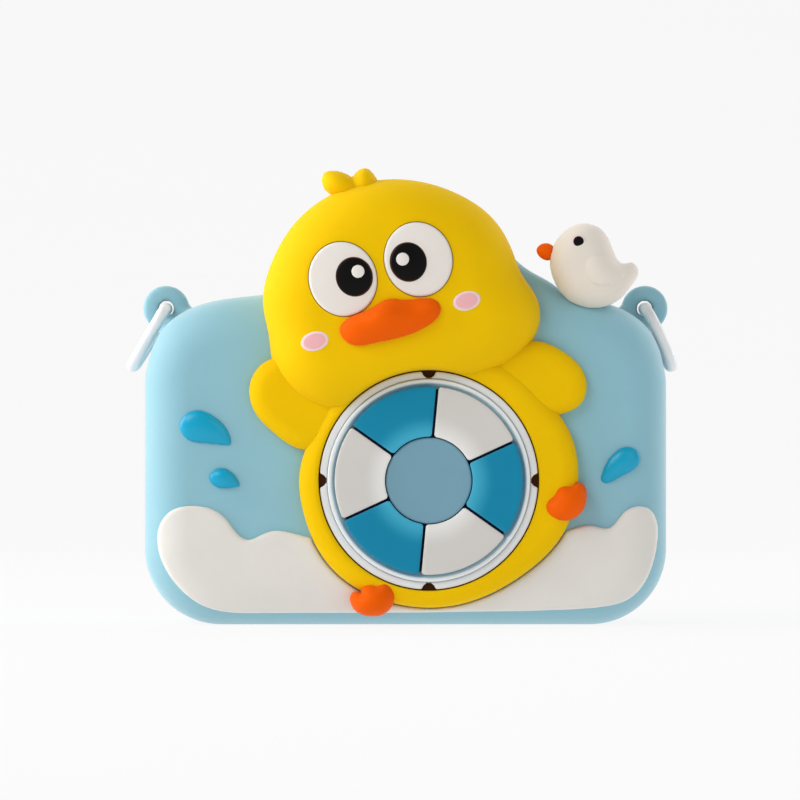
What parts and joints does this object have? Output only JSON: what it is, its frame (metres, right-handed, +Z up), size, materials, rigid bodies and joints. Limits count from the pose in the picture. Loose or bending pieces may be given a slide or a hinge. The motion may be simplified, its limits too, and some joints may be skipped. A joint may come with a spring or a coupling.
{
  "type": "kids digital camera",
  "caption": "Child's digital camera in a moulded silicone duck case, with a swim-ring lens cap, rear screen and keys, port flap and strap rings.",
  "frame": {"origin": "centre of the flat base that the camera stands on", "axes": "+X to the right seen from the front, +Y from the front (lens) to the back (screen), +Z up"},
  "size_m": [0.1064, 0.0474, 0.087],
  "materials": {
    "case_blue_silicone": "matt moulded silicone, faint mould texture",
    "duck_yellow_silicone": "matt moulded silicone",
    "beak_orange_silicone": "matt moulded silicone",
    "eye_white": "smooth silicone inlay",
    "eye_black": "smooth black inlay",
    "eye_glint": "white printed dot",
    "cheek_pink": "smooth pink silicone inlay",
    "foam_cream_silicone": "matt moulded silicone",
    "drop_cyan": "glossy moulded drop",
    "bird_white_silicone": "matt moulded silicone",
    "bird_beak_red": "matt moulded silicone",
    "ring_plastic": "moulded plastic wire ring",
    "shell_white": "satin injection-moulded shell",
    "bezel_white": "satin moulded ring",
    "lens_black": "black moulded plastic",
    "lens_glass": "coated lens glass",
    "circuit_board": "green solder mask",
    "flash_window": "clear moulded window",
    "led_yellow": "phosphor-coated lamp",
    "cap_pale_blue": "satin moulded cap",
    "segment_white": "satin moulded pad",
    "segment_blue": "satin moulded pad",
    "cap_centre_grey": "matt moulded disc",
    "switch_black": "black moulded plastic",
    "button_blue": "satin moulded button",
    "display_black": "black display glass",
    "display_glass": "clear hard window",
    "battery_wrap": "pouch foil",
    "bright_metal": "plated steel",
    "cover_silicone": "matt moulded silicone",
    "key_blue": "satin moulded key",
    "key_yellow": "satin moulded key",
    "key_orange": "satin moulded key"
  },
  "bodies": {
    "camera": {"battery": "battery_wrap", "bird_beak": "bird_beak_red", "bird_body": "bird_white_silicone", "bird_eye": "eye_black", "board_screws": "bright_metal", "card_socket": "bright_metal", "case_screws": "bright_metal", "display_holder": "lens_black", "display_mask": "display_black", "display_panel": "display_black", "display_window": "display_glass", "duck_beak": "beak_orange_silicone", "duck_belly_ring": "duck_yellow_silicone", "duck_cheeks": "cheek_pink", "duck_crest": "duck_yellow_silicone", "duck_eye_glints": "eye_glint", "duck_eye_whites": "eye_white", "duck_feet": "beak_orange_silicone", "duck_head": "duck_yellow_silicone", "duck_pupils": "eye_black", "duck_wings": "duck_yellow_silicone", "flash_led": "led_yellow", "flash_window": "flash_window", "foam_wave": "foam_cream_silicone", "front_shell": "shell_white", "image_sensor_board": "circuit_board", "lens_barrel": "lens_black", "lens_bezel": "bezel_white", "lens_glass": "lens_glass", "lens_panel": "lens_black", "main_board": "circuit_board", "microphone": "bright_metal", "processor_chip": "switch_black", "rear_lens": "lens_black", "rear_lens_glass": "lens_glass", "rear_shell": "shell_white", "shutter_switch": "switch_black", "silicone_case": "case_blue_silicone", "speaker": "switch_black", "tact_switches": "switch_black", "usb_socket": "bright_metal", "water_drops": "drop_cyan"},
    "lens_cap": {"lens_cap_base": "cap_pale_blue", "lens_cap_white_segments": "segment_white", "lens_cap_blue_segments": "segment_blue", "lens_cap_centre": "cap_centre_grey"},
    "strap_ring_left": {"strap_ring_left": "ring_plastic"},
    "strap_ring_right": {"strap_ring_right": "ring_plastic"},
    "shutter_button": {"shutter_button": "button_blue"},
    "port_cover": {"port_cover": "cover_silicone"},
    "up_key": {"up_key": "key_blue"},
    "down_key": {"down_key": "key_blue"},
    "left_key": {"left_key": "key_blue"},
    "right_key": {"right_key": "key_blue"},
    "ok_key": {"ok_key": "key_yellow"},
    "power_key": {"power_key": "key_orange"},
    "mode_key": {"mode_key": "key_blue"},
    "menu_key": {"menu_key": "key_blue"},
    "playback_key": {"playback_key": "key_blue"}
  },
  "joints": [
    {"name": "lens_cap_pull", "type": "slide", "parent": "camera", "child": "lens_cap", "axis": [0, -1, 0], "range_m": [0, 0.03]},
    {"name": "strap_ring_left_swing", "type": "hinge", "parent": "camera", "child": "strap_ring_left", "pos_m": [-0.0462, -0.001, 0.0606], "axis": [0, 1, 0], "range_deg": [0, 140]},
    {"name": "strap_ring_right_swing", "type": "hinge", "parent": "camera", "child": "strap_ring_right", "pos_m": [0.0462, -0.001, 0.0606], "axis": [0, -1, 0], "range_deg": [0, 140]},
    {"name": "shutter_press", "type": "slide", "parent": "camera", "child": "shutter_button", "axis": [0, 0, -1], "range_m": [0, 0.001], "stiffness_N_per_m": 1200},
    {"name": "port_cover_flap", "type": "hinge", "parent": "camera", "child": "port_cover", "pos_m": [0.0498, 0.0034, 0.0179], "axis": [0, 1, 0], "range_deg": [0, 100], "stiffness_Nm_per_rad": 0.003},
    {"name": "up_press", "type": "slide", "parent": "camera", "child": "up_key", "axis": [0, -1, 0], "range_m": [0, 0.0006], "stiffness_N_per_m": 2000},
    {"name": "down_press", "type": "slide", "parent": "camera", "child": "down_key", "axis": [0, -1, 0], "range_m": [0, 0.0006], "stiffness_N_per_m": 2000},
    {"name": "left_press", "type": "slide", "parent": "camera", "child": "left_key", "axis": [0, -1, 0], "range_m": [0, 0.0006], "stiffness_N_per_m": 2000},
    {"name": "right_press", "type": "slide", "parent": "camera", "child": "right_key", "axis": [0, -1, 0], "range_m": [0, 0.0006], "stiffness_N_per_m": 2000},
    {"name": "ok_press", "type": "slide", "parent": "camera", "child": "ok_key", "axis": [0, -1, 0], "range_m": [0, 0.0006], "stiffness_N_per_m": 2000},
    {"name": "power_press", "type": "slide", "parent": "camera", "child": "power_key", "axis": [0, -1, 0], "range_m": [0, 0.0006], "stiffness_N_per_m": 2000},
    {"name": "mode_press", "type": "slide", "parent": "camera", "child": "mode_key", "axis": [0, -1, 0], "range_m": [0, 0.0006], "stiffness_N_per_m": 2000},
    {"name": "menu_press", "type": "slide", "parent": "camera", "child": "menu_key", "axis": [0, -1, 0], "range_m": [0, 0.0006], "stiffness_N_per_m": 2000},
    {"name": "playback_press", "type": "slide", "parent": "camera", "child": "playback_key", "axis": [0, -1, 0], "range_m": [0, 0.0006], "stiffness_N_per_m": 2000}
  ]
}
